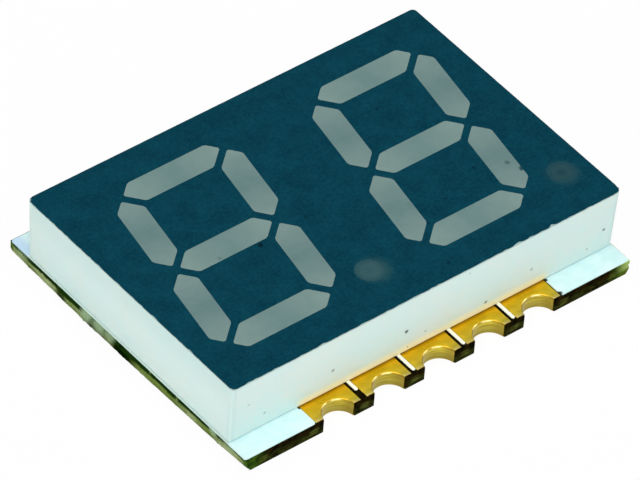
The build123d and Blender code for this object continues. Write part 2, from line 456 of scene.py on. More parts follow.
class Shading(NodeBench):
    """A Principled material that is being wired, with its places in millimetres."""

    def __init__(self, name: str, specular: float, metallic: float = 0.0) -> None:
        """Start a material with its plain values.

        Args:
            name: The name of the material.
            specular: How strong its mirror light is.
            metallic: One for metal and zero for the rest.
        """
        self.material = bpy.data.materials.new(name)
        self.material.use_nodes = True
        super().__init__(self.material.node_tree)
        self.surface = self.tree.nodes["Principled BSDF"]
        self.feed(self.surface.inputs["Specular IOR Level"], specular)
        self.feed(self.surface.inputs["Metallic"], metallic)
        coordinates = self.add("ShaderNodeTexCoord")
        self.place = self.stretch(coordinates.outputs["Object"], (1 / MM, 1 / MM, 1 / MM))
        axes = self.add("ShaderNodeSeparateXYZ")
        self.feed(axes.inputs[0], self.place)
        self.x, self.y, self.z = axes.outputs

    def away(self, axis: Socket) -> Socket:
        """Return how far a place lies from the middle along an axis."""
        return self.sum_up("ABSOLUTE", axis)

    def aside(self) -> Socket:
        """Return how far a place lies to the side of the nearest terminal's middle."""
        return self.sum_up("PINGPONG", self.x, HALF_PITCH)

    def shared(self, tree: Tree, **values: Source) -> bpy.types.Node:
        """Place a shared group.

        Args:
            tree: The group.
            **values: What feeds its inputs, apart from Place.

        Returns:
            The group's node.
        """
        node = self.add("ShaderNodeGroup", node_tree=tree)
        self.feed(node.inputs["Place"], self.place)
        for name, source in values.items():
            self.feed(node.inputs[name], source)
        return node

    def mottle(self, grain: float, first: Source, second: Source) -> Socket:
        """Return a colour that wanders between two in grains of a size."""
        return self.shared(mottle_group(), Grain=grain, First=first, Second=second).outputs["Color"]

    def dusted(self, colour: Source, dust: Dust) -> Socket:
        """Return a colour with specks scattered on it."""
        node = self.shared(dust_group(), Spacing=dust.spacing, Radius=dust.radius, Share=dust.share)
        return self.blend(node.outputs["Mask"], colour, dust.colour)

    def spotted(self, colour: Source, spots: tuple[Spot, ...], speck: Colour) -> Source:
        """Put spots on a colour.

        Args:
            colour: The colour that the spots lie on.
            spots: The spots.
            speck: The colour of the spots.

        Returns:
            The colour with each of the spots on it.
        """
        for spot in spots:
            node = self.shared(spot_group(), Centre=spot.centre, Radius=spot.radius, Depth=spot.depth)
            colour = self.blend(node.outputs["Mask"], colour, speck)
        return colour

    def rough(self, roughness: Roughness | float) -> None:
        """Set the roughness.

        Args:
            roughness: How it wanders, or one value for the whole surface.
        """
        value: Source = roughness
        if isinstance(roughness, Roughness):
            patches = self.grain(self.place, roughness.patch)
            value = self.rise(patches, NOISE_SPAN, roughness.low, roughness.high)
        self.feed(self.surface.inputs["Roughness"], value)

    def raised(self, height: Source, depth: float) -> None:
        """Raise the surface by a height.

        Args:
            height: The height, from zero to one.
            depth: How high one is, in millimetres.
        """
        bump = self.add("ShaderNodeBump")
        self.feed(bump.inputs["Distance"], depth * MM)
        self.feed(bump.inputs["Height"], height)
        self.feed(self.surface.inputs["Normal"], bump.outputs["Normal"])

    def grained(self, relief: Relief) -> None:
        """Raise a fine grain on the surface."""
        self.raised(self.grain(self.place, relief.size, relief.detail), relief.height)

    def finish(self, colour: Source) -> Material:
        """Wire the colour and return the material."""
        self.feed(self.surface.inputs["Base Color"], colour)
        return self.material


@dataclass(frozen=True)
class WhiteMoulding:
    """Matt white plastic with a cool cast, warmer in soft patches, and a few dark specks.

    Its foot has a painted warm reflection of the gold beside it, and a painted cold line of contact shade
    where it meets the mask.
    High on the short walls and at the upright corners it has painted shade, and some ink has crept over
    its rim.
    """

    cool: Colour = paint("D5F2EF")
    warm: Colour = paint("E2F0E9")
    # Painted warm light, bounced from the gold onto the foot of the walls
    painted_gold_bounce: Colour = paint("FFFFD8")
    # Painted contact shade, a cold line along the foot where the walls meet the mask
    painted_contact_shade: Colour = paint("A9C6D6")
    # Painted shade, high on the short walls and down the upright corners
    painted_wall_shade: Colour = paint("C8E4DF")
    stained: Colour = paint("5A8480")
    grime: Colour = paint("3A4644")
    specular: float = 0.35
    patch: float = 1.9
    mote: float = 0.13
    mote_share: float = 0.5
    shaded_walls: Span = (9.56, 9.66)
    shaded_heights: Span = (2.2, 3.5)
    shaded_wall_share: float = 0.5
    shaded_corner_girths: Span = (15.73, 15.89)
    shaded_corner_share: float = 0.45
    wall_bounce_ends: Span = (6.5, 6.1)
    wall_bounce_heights: Span = (1.25, 0.78)
    contact_shade_starts: Span = (6.35, 6.45)
    contact_shade_walls: Span = (6.3, 6.38)
    contact_shade_heights: Span = (0.8, 0.74)
    contact_shade_share: float = 0.6
    creep: float = 0.05
    creep_length: float = 0.2
    stain_heights: Span = (3.62, 3.74)
    stain_share: float = 0.6
    dust: Dust = Dust(0.55, 0.03, 0.22, paint("A3AFAB"))
    roughness: Roughness = Roughness(0.4, 0.42, 0.62)
    relief: Relief = Relief(0.09, 0.004, FINE_DETAIL)
    spots: tuple[Spot, ...] = (
        front_spot(-0.96, 1.88, 0.13, 1.0),
        front_spot(-4.65, 1.84, 0.12, 0.6),
        front_spot(9.16, 1.87, 0.1, 0.8),
        front_spot(3.16, 1.18, 0.1, 0.85),
        front_spot(5.44, 1.72, 0.1, 0.45),
        front_spot(8.37, 1.22, 0.08, 0.45),
        front_spot(2.06, 3.42, 0.06, 0.4),
        front_spot(-8.89, 2.39, 0.08, 0.3),
        front_spot(-8.01, 1.43, 0.09, 0.4),
        front_spot(0.06, 1.33, 0.08, 0.4),
        front_spot(-0.8, 0.94, 0.06, 0.6),
    )

    def material(self) -> Material:
        """Wire the material.

        Returns:
            The material.
        """
        shading = Shading("white_moulding", self.specular)
        motes = shading.mottle(self.mote, self.cool, self.warm)
        colour = shading.blend(self.mote_share, shading.mottle(self.patch, self.cool, self.warm), motes)
        along = shading.away(shading.x)
        across = shading.away(shading.y)
        # Painted shade high on the short walls and on the upright corners
        colour = shading.blend(self.painted_shade_mask(shading, along, across), colour, self.painted_wall_shade)
        # Painted warm light bounced from the gold, low on the walls beside the lands
        low = shading.rise(shading.z, self.wall_bounce_heights)
        colour = shading.blend(shading.both(low, shading.rise(along, self.wall_bounce_ends)), colour, self.painted_gold_bounce)
        # Painted contact shade, low on the walls where they meet the mask
        line = shading.both(
            shading.rise(shading.z, self.contact_shade_heights),
            shading.rise(along, self.contact_shade_starts, 0.0, self.contact_shade_share),
            shading.rise(across, self.contact_shade_walls),
        )
        colour = shading.blend(line, colour, self.painted_contact_shade)
        colour = shading.dusted(colour, self.dust)
        colour = shading.spotted(colour, self.spots, self.grime)
        crept = shading.sum_up("MULTIPLY", shading.grain(shading.place, self.creep_length), self.creep)
        height = shading.sum_up("ADD", shading.z, crept)
        stain = shading.rise(height, self.stain_heights, 0.0, self.stain_share)
        shading.rough(self.roughness)
        shading.grained(self.relief)
        return shading.finish(shading.blend(stain, colour, self.stained))

    def painted_shade_mask(self, shading: Shading, along: Socket, across: Socket) -> Socket:
        """Mark where shade is painted: high on the short walls and on the four upright corners.

        Args:
            shading: The material.
            along: How far a place lies from the middle along the digits.
            across: How far it lies from the middle across them.

        Returns:
            How much painted shade a place has.
        """
        upper = shading.rise(shading.z, self.shaded_heights, 0.0, self.shaded_wall_share)
        high = shading.both(upper, shading.rise(along, self.shaded_walls))
        spread = shading.sum_up("MULTIPLY", shading.z, 2 * FRONT_LEAN)
        girth = shading.sum_up("SUBTRACT", shading.sum_up("ADD", along, across), spread)
        corner = shading.rise(girth, self.shaded_corner_girths, 0.0, self.shaded_corner_share)
        return shading.sum_up("MAXIMUM", high, corner)


@dataclass(frozen=True)
class PrintedInk:
    """Dark teal ink, a little mottled, with specks that are lighter and darker than it."""

    pale: Colour = paint("0B4757")
    deep: Colour = paint("053646")
    night: Colour = paint("04202A")
    fleck: Colour = paint("2A6470")
    haze: Colour = paint("2D555A")
    specular: float = 0.02
    patch: float = 0.9
    patch_share: float = 0.4
    mote: float = 0.1
    dusts: tuple[Dust, ...] = (
        Dust(0.42, 0.05, 0.3, deep),
        Dust(0.8, 0.05, 0.12, night),
        Dust(0.73, 0.03, 0.1, fleck),
    )
    roughness: Roughness = Roughness(0.3, 0.6, 0.8)
    relief: Relief = Relief(0.07, 0.002)
    spots: tuple[Spot, ...] = (
        face_spot(-3.92, -0.81, 0.16, 1.0),
        face_spot(-1.43, -0.55, 0.12, 0.6),
        face_spot(-2.85, 3.08, 0.09, 0.5),
        face_spot(1.52, -5.83, 0.14, 0.55),
        face_spot(4.79, 2.71, 0.1, 0.6),
        face_spot(5.8, -2.16, 0.12, 0.6),
        face_spot(2.82, -3.36, 0.1, 0.6),
        face_spot(2.27, -3.59, 0.1, 0.5),
        face_spot(9.18, 2.78, 0.1, 0.5),
        face_spot(3.75, -2.92, 0.1, 0.5),
    )
    halos: tuple[Spot, ...] = (
        face_spot(-1.11, -4.48, 0.9, 0.9),
        face_spot(8.53, -4.48, 0.9, 0.6),
    )

    def material(self) -> Material:
        """Wire the material.

        Returns:
            The material.
        """
        shading = Shading("printed_ink", self.specular)
        patches = shading.mottle(self.patch, self.pale, self.deep)
        colour = shading.blend(self.patch_share, shading.mottle(self.mote, self.pale, self.deep), patches)
        colour = shading.spotted(colour, self.halos, self.haze)
        for dust in self.dusts:
            colour = shading.dusted(colour, dust)
        shading.rough(self.roughness)
        shading.grained(self.relief)
        return shading.finish(shading.spotted(colour, self.spots, self.night))


class Clarity(Enum):
    """How the epoxy of a casting looks: its colour from over the chip, at zero, out to its rim, at one."""

    ACROSS = ((0.1, paint("6B8987")), (1.0, paint("839B96")))
    UPRIGHT = ((0.1, paint("658382")), (1.0, paint("7F9793")))
    DIM_POINT = (
        (0.0, paint("2A5459")), (0.5, paint("345A5E")), (0.8, paint("285056")), (1.0, paint("17464F")),
    )
    DULL_POINT = (
        (0.0, paint("0C3743")), (0.5, paint("22484E")), (0.8, paint("15444D")), (1.0, paint("0B424E")),
    )


@dataclass(frozen=True)
class CloudyEpoxy:
    """Cloudy grey epoxy over a chip: greyer over the chip and lighter towards the tips.

    A bar changes along a direction, as far as its reach, and a point with no direction changes all round.
    """

    name: str
    clarity: Clarity
    chip: Triple
    reach: float
    along: Triple | None = None
    spots: tuple[Spot, ...] = ()
    grime: Colour = paint("1C434B")
    specular: float = 0.12
    cloud: float = 0.5
    cloud_share: float = 0.2
    dust_spacing: float = 0.5
    dust_radius: float = 0.025
    dust_share: float = 0.25
    roughness: Roughness = Roughness(0.2, 0.48, 0.62)
    relief: Relief = Relief(0.05, 0.0015)

    def material(self) -> Material:
        """Wire the material.

        Returns:
            The material.
        """
        shading = Shading(f"cloudy_epoxy_{self.name}", self.specular)
        stops = self.clarity.value
        (_, over_chip), (_, rim) = stops[0], stops[-1]
        colour = shading.ramp(shading.sum_up("DIVIDE", self.distance(shading), self.reach), stops)
        colour = shading.blend(self.cloud_share, colour, shading.mottle(self.cloud, over_chip, rim))
        dust = Dust(self.dust_spacing, self.dust_radius, self.dust_share, over_chip)
        colour = shading.dusted(colour, dust)
        shading.rough(self.roughness)
        shading.grained(self.relief)
        return shading.finish(shading.spotted(colour, self.spots, self.grime))

    def distance(self, shading: Shading) -> Socket:
        """Measure how far a place lies from the chip, along the bar or all round a point.

        Args:
            shading: The material.

        Returns:
            The distance, in millimetres.
        """
        offset = shading.reckon("SUBTRACT", shading.place, self.chip)
        level = shading.reckon("MULTIPLY", offset, (1.0, 1.0, 0.0))
        if self.along is None:
            return shading.reckon("DISTANCE", level, (0.0, 0.0, 0.0), "Value")
        return shading.away(shading.reckon("DOT_PRODUCT", level, self.along, "Value"))


@dataclass(frozen=True)
class WhiteMask:
    """White solder mask with a cold cast and a soft gloss, painted warm by the gold, with painted shade
    and shadow by the walls, and bare in a few places.
    """

    pale: Colour = paint("E2FDFC")
    shade: Colour = paint("D5F6F6")
    # Painted warm light, bounced from the gold onto the mask between the lands
    warm: Colour = paint("FFFFEE")
    # Painted shade on the mask at the foot of the short walls
    shaded_skirt: Colour = paint("D0E2DC")
    # Painted shadow of the housing, a cold blue on the mask at the back left corner
    cold: Colour = paint("CAE8FC")
    bare: Colour = paint("0A0A04")
    specular: float = 0.3
    patch: float = 0.6
    mask_bounce_ends: Span = (6.3, 6.1)
    shaded_skirt_sides: Span = (6.51, 6.31)
    shaded_skirt_ends: Span = (9.58, 9.68)
    shadow_sides: Span = (6.35, 6.5)
    shadow_ends: Span = (-9.1, -9.5)
    dust: Dust = Dust(0.6, 0.03, 0.15, paint("86A0A2"))
    roughness: Roughness = Roughness(0.25, 0.32, 0.5)
    relief: Relief = Relief(0.12, 0.003)
    bare_spots: tuple[Spot, ...] = (
        Spot((6.24, -7.36, 0.7), 0.17, 1.0),
        Spot((6.26, -6.46, 0.7), 0.12, 1.0),
        Spot((-6.25, -6.44, 0.7), 0.1, 1.0),
    )

    def material(self) -> Material:
        """Wire the material.

        Returns:
            The material.
        """
        shading = Shading("white_mask", self.specular)
        colour = shading.mottle(self.patch, self.pale, self.shade)
        along = shading.away(shading.x)
        # Painted warm light bounced from the gold
        colour = shading.blend(shading.rise(along, self.mask_bounce_ends), colour, self.warm)
        # Painted shade on the mask at the foot of the short walls
        beside = shading.rise(shading.away(shading.y), self.shaded_skirt_sides)
        past = shading.rise(along, self.shaded_skirt_ends)
        colour = shading.blend(shading.both(beside, past), colour, self.shaded_skirt)
        # Painted shadow of the housing on the mask at the back left corner
        far = shading.rise(shading.y, self.shadow_sides)
        far = shading.both(far, shading.rise(shading.x, self.shadow_ends))
        colour = shading.blend(far, colour, self.cold)
        colour = shading.dusted(colour, self.dust)
        shading.rough(self.roughness)
        shading.grained(self.relief)
        return shading.finish(shading.spotted(colour, self.bare_spots, self.bare))


@dataclass(frozen=True)
class GoldPlate:
    """Gold plate: amber by the housing, with painted shade at the wall and a painted highlight at the
    board's edge.

    The drill's rings show in its olive barrels, and two gleams on the lip of each.
    """

    shade: Colour = paint("9C7808")
    # Painted reflection: the barrel runs from a pale foot to a brighter top
    barrel_top: Colour = paint("D4BE3E")
    barrel_foot: Colour = paint("A49640")
    ring: Colour = paint("8E7E2C")
    # Painted shade on both cheeks of the barrel
    shaded_cheek: Colour = paint("8A7426")
    bright_lip: Colour = paint("FFEFA2")
    # Painted shade at the wall, where the ramp starts, and a painted highlight at the brink, where it ends
    land_stops: Stops = (
        (0.0, shade), (0.16, paint("EFBE1C")), (0.46, paint("E2B628")),
        (0.66, paint("E2B834")), (0.84, paint("C4A630")), (0.95, paint("CBB161")),
    )
    lip_stops: Stops = (
        (0.06, paint("B89C3A")), (0.17, bright_lip), (0.38, bright_lip), (0.52, paint("9A7E2A")),
    )
    specular: float = 0.5
    land_start: float = 6.41
    land_length: float = 1.07
    shade_sides: Span = (0.75, 0.3)
    shade_shares: Span = (0.45, 0.25)
    shade_depth: float = 0.3
    ring_stretch: Triple = (0.04, 0.04, 1.0)
    ring_height: float = 0.05
    ring_span: Span = (0.44, 0.62)
    ring_depth: float = 0.7
    shaded_cheek_sides: Span = (0.42, 0.72)
    shaded_cheek_depth: float = 0.55
    barrel_heights: Span = (0.1, 0.62)
    barrel_foots: Span = (0.03, 0.07)
    barrel_tops: Span = (0.69, 0.62)
    lip_foots: Span = (0.62, 0.67)
    lip_tops: Span = (0.705, 0.68)
    roughness: Roughness = Roughness(0.12, 0.3, 0.42)
    grit: float = 0.06
    grit_share: float = 0.2
    relief_height: float = 0.004

    def material(self) -> Material:
        """Wire the material.

        Returns:
            The material.
        """
        shading = Shading("gold_plate", self.specular, metallic=1.0)
        aside = shading.aside()
        rings = shading.grain(shading.stretch(shading.place, self.ring_stretch), self.ring_height)
        inside = shading.both(
            shading.rise(shading.z, self.barrel_tops),
            shading.rise(shading.z, self.barrel_foots),
        )
        colour = shading.blend(inside, self.land(shading, aside), self.barrel(shading, aside, rings))
        lip = shading.both(shading.rise(shading.z, self.lip_foots), shading.rise(shading.z, self.lip_tops))
        colour = shading.blend(lip, colour, shading.ramp(aside, self.lip_stops))
        shading.rough(self.roughness)
        grit = shading.sum_up("MULTIPLY", shading.grain(shading.place, self.grit), self.grit_share)
        shading.raised(shading.sum_up("ADD", rings, grit), self.relief_height)
        return shading.finish(colour)

    def land(self, shading: Shading, aside: Socket) -> Socket:
        """Colour the lands.

        Args:
            shading: The material.
            aside: How far a place lies to the side of its terminal's middle.

        Returns:
            Amber by the housing, darker behind the hole, with painted shade at the wall and a painted
            highlight at the board's edge.
        """
        reach = shading.sum_up("SUBTRACT", shading.away(shading.y), self.land_start)
        share = shading.sum_up("DIVIDE", reach, self.land_length)
        behind = shading.rise(aside, self.shade_sides, 0.0, self.shade_depth)
        shaded = shading.both(behind, shading.rise(share, self.shade_shares))
        return shading.blend(shaded, shading.ramp(share, self.land_stops), self.shade)

    def barrel(self, shading: Shading, aside: Socket, rings: Socket) -> Socket:
        """Colour the barrels.

        Args:
            shading: The material.
            aside: How far a place lies to the side of its terminal's middle.
            rings: The noise of the drill's rings.

        Returns:
            Olive and ringed, with a painted reflection brighter towards the top and painted shade at both
            cheeks.
        """
        # Painted reflection, brighter towards the top
        upper = shading.rise(shading.z, self.barrel_heights)
        colour = shading.blend(upper, self.barrel_foot, self.barrel_top)
        ringed = shading.rise(rings, self.ring_span, 0.0, self.ring_depth)
        colour = shading.blend(ringed, colour, self.ring)
        # Painted shade at both cheeks
        cheeks = shading.rise(aside, self.shaded_cheek_sides, 0.0, self.shaded_cheek_depth)
        return shading.blend(cheeks, colour, self.shaded_cheek)


@dataclass(frozen=True)
class GlassLaminate:
    """Dark glass-epoxy laminate with olive fibre on its edges, green and grey at its snapped ends."""

    half_length: float
    dark: Colour = paint("080A04")
    bark: Colour = paint("261C08")
    streak: Colour = paint("333A16")
    pith: Colour = paint("545A26")
    leaf: Colour = paint("40621A")
    fern: Colour = paint("20360C")
    khaki: Colour = paint("A0AE7A")
    olive: Colour = paint("647A2A")
    vein: Colour = paint("2E4414")
    dark_top_band: Colour = paint("14300A")
    bright: Colour = paint("A8C06C")
    moss: Colour = paint("56691E")
    murk: Colour = paint("081A03")
    gleam: Colour = paint("94AC86")
    specular: float = 0.0
    roughness: Roughness = Roughness(0.2, 0.45, 0.65)
    relief_height: float = 0.012
    end_stretch: Triple = (1.0, 0.08, 1.8)
    end_fibre: float = 0.11
    side_stretch: Triple = (0.3, 1.0, 1.4)
    side_fibre: float = 0.12
    end_depths: Span = (0.2, 0.16)
    clear_ends: Span = (8.9, 9.75)
    clear_heights: Span = (0.2, 0.45)
    clear_fibre: Span = (0.5, 0.65)
    clear_share: float = 0.5
    bark_patch: float = 0.3
    streak_fibre: Span = (0.4, 0.62)
    streak_heights: Span = (0.55, 0.25)
    pith_sides: Span = (0.95, 1.2)
    pith_foots: Span = (0.14, 0.24)
    pith_tops: Span = (0.54, 0.4)
    pith_fibre: Span = (0.36, 0.56)
    pith_shares: Span = (0.25, 0.85)
    leaf_depths: Span = (1.3, 0.2)
    leaf_patch: float = 0.25
    khaki_patch: float = 1.3
    vein_fibre: Span = (0.5, 0.66)
    vein_share: float = 0.75
    # Painted shade across the middle of the snapped end
    shade_band_starts: Span = (-5.2, -1.6)
    shade_band_ends: Span = (1.2, 0.6)
    shade_band_share: float = 0.75
    corner_sides: Span = (7.2, 7.45)
    dark_top_heights: Span = (0.5, 0.6)
    dark_top_patch: float = 0.7
    dark_top_span: Span = (0.68, 0.6)
    # Painted shade, darker towards the bottom of the snapped end
    shaded_foot_heights: Span = (0.16, 0.06)
    shaded_foot_share: float = 0.6
    shadows: tuple[Spot, ...] = (
        end_spot(0.15, 0.4, 1.15, 1.0),
        end_spot(1.9, 0.16, 1.1, 0.8),
        end_spot(4.1, 0.42, 0.5, 0.8),
    )
    gleams: tuple[Spot, ...] = (
        end_spot(1.0, 0.66, 0.45, 0.7),
        end_spot(1.7, 0.66, 0.55, 0.8),
        end_spot(2.5, 0.66, 0.5, 0.9),
        end_spot(-5.5, 0.66, 0.35, 1.0),
        end_spot(-6.5, 0.66, 0.5, 0.5),
        end_spot(6.7, 0.66, 0.6, 0.35),
    )

    def material(self) -> Material:
        """Wire the material.

        Returns:
            The material.
        """
        shading = Shading("glass_laminate", self.specular)
        inset = shading.sum_up("SUBTRACT", self.half_length, shading.away(shading.x))
        end_place = shading.stretch(shading.place, self.end_stretch)
        end_fibre = shading.grain(end_place, self.end_fibre, FINE_DETAIL)
        side_place = shading.stretch(shading.place, self.side_stretch)
        side_fibre = shading.grain(side_place, self.side_fibre, FINE_DETAIL)
        ends = shading.rise(inset, self.end_depths)
        colour = shading.blend(ends, self.side(shading, side_fibre, inset), self.end(shading, end_fibre))
        clear = shading.blend(shading.rise(shading.z, self.clear_heights), self.moss, self.bright)
        fibred = shading.rise(end_fibre, self.clear_fibre, 0.0, self.clear_share)
        clear = shading.blend(fibred, clear, self.olive)
        colour = shading.blend(shading.rise(shading.x, self.clear_ends), colour, clear)
        shading.rough(self.roughness)
        shading.raised(shading.sum_up("ADD", side_fibre, end_fibre), self.relief_height)
        return shading.finish(colour)

    def side(self, shading: Shading, fibre: Socket, inset: Socket) -> Socket:
        """Colour the routed sides.

        Args:
            shading: The material.
            fibre: The noise of the fibres.
            inset: How far a place lies from the nearer end.

        Returns:
            A dark colour, olive low down and in the heart of each tooth, and green near the ends.
        """
        colour = shading.mottle(self.bark_patch, self.dark, self.bark)
        low = shading.both(
            shading.rise(fibre, self.streak_fibre),
            shading.rise(shading.z, self.streak_heights),
        )
        colour = shading.blend(low, colour, self.streak)
        heart = shading.both(
            shading.rise(shading.aside(), self.pith_sides),
            shading.rise(shading.z, self.pith_foots),
            shading.rise(shading.z, self.pith_tops),
            shading.rise(fibre, self.pith_fibre, *self.pith_shares),
        )
        colour = shading.blend(heart, colour, self.pith)
        glow = shading.rise(inset, self.leaf_depths)
        return shading.blend(glow, colour, shading.mottle(self.leaf_patch, self.leaf, self.fern))

    def end(self, shading: Shading, fibre: Socket) -> Socket:
        """Colour the snapped ends.

        Args:
            shading: The material.
            fibre: The noise of the fibres.

        Returns:
            Khaki and olive in patches, veined along the board, with painted shade and shadows, and a dark
            band along the top.
        """
        colour = shading.mottle(self.khaki_patch, self.khaki, self.olive)
        veins = shading.rise(fibre, self.vein_fibre, 0.0, self.vein_share)
        colour = shading.blend(veins, colour, self.vein)
        # Painted shade across the middle of the snapped end
        middle = shading.both(
            shading.rise(shading.y, self.shade_band_starts, 0.0, self.shade_band_share),
            shading.rise(shading.y, self.shade_band_ends),
        )
        colour = shading.blend(middle, colour, self.olive)
        colour = shading.spotted(colour, self.shadows, self.murk)
        colour = shading.blend(shading.rise(shading.away(shading.y), self.corner_sides), colour, self.leaf)
        # A dark band along the top of the end, broken in places
        whole = shading.rise(shading.grain(shading.place, self.dark_top_patch), self.dark_top_span)
        dark_top_band = shading.both(shading.rise(shading.z, self.dark_top_heights), whole)
        colour = shading.blend(dark_top_band, colour, self.dark_top_band)
        colour = shading.spotted(colour, self.gleams, self.gleam)
        # Painted shade, darker towards the bottom
        foot = shading.rise(shading.z, self.shaded_foot_heights, 0.0, self.shaded_foot_share)
        return shading.blend(foot, colour, self.vein)


@dataclass(frozen=True)
class PlainFinish:
    """A finish that only wanders between two colours, with a texture."""

    name: str
    first: Colour
    second: Colour
    patch: float
    specular: float
    roughness: Roughness | float
    metallic: float = 0.0
    relief: Relief | None = None

    @cache
    def material(self) -> Material:
        """Wire the material, once for all the pieces that have it.

        Returns:
            The material.
        """
        shading = Shading(self.name, self.specular, self.metallic)
        shading.rough(self.roughness)
        if self.relief:
            shading.grained(self.relief)
        return shading.finish(shading.mottle(self.patch, self.first, self.second))


# Pale crystal of a light emitting chip
CHIP_CRYSTAL = PlainFinish(
    "chip_crystal", paint("C8D2C0"), paint("8E9E8C"), patch=0.08, specular=0.6, roughness=0.2,
    relief=Relief(0.04, 0.001),
)

# Bright drawn wire
DRAWN_GOLD = PlainFinish(
    "drawn_gold", paint("FFD566"), paint("E8B545"), patch=0.03, specular=0.5, metallic=1.0,
    roughness=Roughness(0.02, 0.18, 0.3),
)

# Etched copper with a thin gold flash, a little stained
ETCHED_COPPER = PlainFinish(
    "etched_copper", paint("E9B56A"), paint("B9793C"), patch=0.25, specular=0.5, metallic=1.0,
    roughness=Roughness(0.1, 0.32, 0.5), relief=Relief(0.05, 0.003),
)


def dress(piece: Piece, material: Material) -> None:
    """Give a piece one material all over.

    Args:
        piece: A CAD node's object or a new piece.
        material: The material.
    """
    piece.data.materials.clear()
    piece.data.materials.append(material)
    log.info("%s dressed in %s", piece.name, material.name)


def enter(piece: Piece, node: str, material: Material) -> Piece:
    """Dress a new piece, let it ride with the part and stand for a node.

    Args:
        piece: The new piece.
        node: The CAD node that it stands for.
        material: The finish.

    Returns:
        The same piece.
    """
    dress(piece, material)
    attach(piece, BODY)
    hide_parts(node)
    log.info("%s stands for %s with %d faces", piece.name, node, len(piece.data.polygons))
    return piece


class Bench:
    """A piece on the bench: a copy of a CAD node's mesh, shaped with Blender's tools in millimetres."""

    matrix_size = 4
    weld = 0.0005
    flat = radians(0.5)
    crease = radians(25)
    round_profile = 0.5

    def __init__(self, name: str, node: str) -> None:
        """Put a copy of a node on the bench, with its triangles joined.

        Args:
            name: The name of the new piece.
            node: The CAD node that it stands for.
        """
        self.node = node
        self.piece = bpy.data.objects.new(name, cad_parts[node].data.copy())
        bpy.context.scene.collection.objects.link(self.piece)
        self.piece.data.transform(Matrix.Scale(1 / MM, self.matrix_size))
        with self.editing():
            bpy.ops.mesh.select_all(action="SELECT")
            bpy.ops.mesh.customdata_custom_splitnormals_clear()
            bpy.ops.mesh.remove_doubles(threshold=self.weld)
            bpy.ops.mesh.dissolve_limited(angle_limit=self.flat)

    def choose(self) -> None:
        """Select this piece alone and make it the active one."""
        bpy.ops.object.select_all(action="DESELECT")
        self.piece.select_set(True)
        bpy.context.view_layer.objects.active = self.piece

    @contextmanager
    def editing(self) -> Iterator[None]:
        """Open the piece in edit mode, with edges to select, and close it after.

        Yields:
            Nothing. The piece is open meanwhile.
        """
        self.choose()
        bpy.ops.object.mode_set(mode="EDIT")
        bpy.ops.mesh.select_mode(type="EDGE")
        yield
        bpy.ops.object.mode_set(mode="OBJECT")

    def pick(self, wanted: EdgeTest, sharp: bool = True) -> int:
        """Select edges by where their two ends are, in edit mode.

        Args:
            wanted: Says whether an edge with these ends is wanted.
            sharp: Whether only edges between faces at an angle count.

        Returns:
            How many edges were selected.
        """
        bpy.ops.mesh.select_all(action="DESELECT")
        mesh = bmesh.from_edit_mesh(self.piece.data)
        count = 0
        for edge in mesh.edges:
            if sharp and edge.calc_face_angle(0.0) < self.crease:
                continue
            if wanted(*(vertex.co for vertex in edge.verts)):
                edge.select_set(True)
                count += 1
        bmesh.update_edit_mesh(self.piece.data)
        return count

    def round_off(self, wanted: EdgeTest, width: float, facets: int = 3) -> None:
        """Round the sharp edges that are wanted.

        Args:
            wanted: Says whether an edge with these ends is rounded.
            width: How far the rounding reaches from the edge.
            facets: How many facets the rounding has.
        """
        with self.editing():
            if self.pick(wanted):
                bpy.ops.mesh.bevel(
                    offset=width, segments=facets, profile=self.round_profile, affect="EDGES",
                )

    def divide(self, wanted: EdgeTest, cuts: int) -> None:
        """Cut edges into equal lengths, across the faces between them.

        Args:
            wanted: Says whether an edge with these ends is cut.
            cuts: How many cuts each edge gets.
        """
        with self.editing():
            if self.pick(wanted, sharp=False):
                bpy.ops.mesh.subdivide(number_cuts=cuts)

    def slice(self, axis: Triple, distance: float) -> None:
        """Cut the whole piece across with a plane.

        Args:
            axis: The direction that the plane faces.
            distance: How far along it the plane lies.
        """
        with self.editing():
            bpy.ops.mesh.select_all(action="SELECT")
            bpy.ops.mesh.bisect(plane_co=Vector(axis) * distance, plane_no=axis)

    def shift(self, moved: Callable[[Vector], Vector]) -> None:
        """Move each corner of the mesh by what a function says of it."""
        for vertex in self.piece.data.vertices:
            vertex.co += moved(vertex.co.copy())

    def deliver(self, material: Material) -> Piece:
        """Take the piece off the bench in metres, dressed, and let it stand for its node.

        Args:
            material: The finish.

        Returns:
            The finished piece.
        """
        self.piece.data.transform(Matrix.Scale(MM, self.matrix_size))
        self.choose()
        bpy.ops.object.shade_smooth_by_angle(angle=self.crease)
        return enter(self.piece, self.node, material)


@dataclass
class Reworked:
    """A piece that stands for a CAD node, with the corners of the node's box to work from."""

    node: str
    low: Vector = field(init=False)
    high: Vector = field(init=False)

    def __post_init__(self) -> None:
        """Read the node's box."""
        self.low, self.high = box_of(self.node)


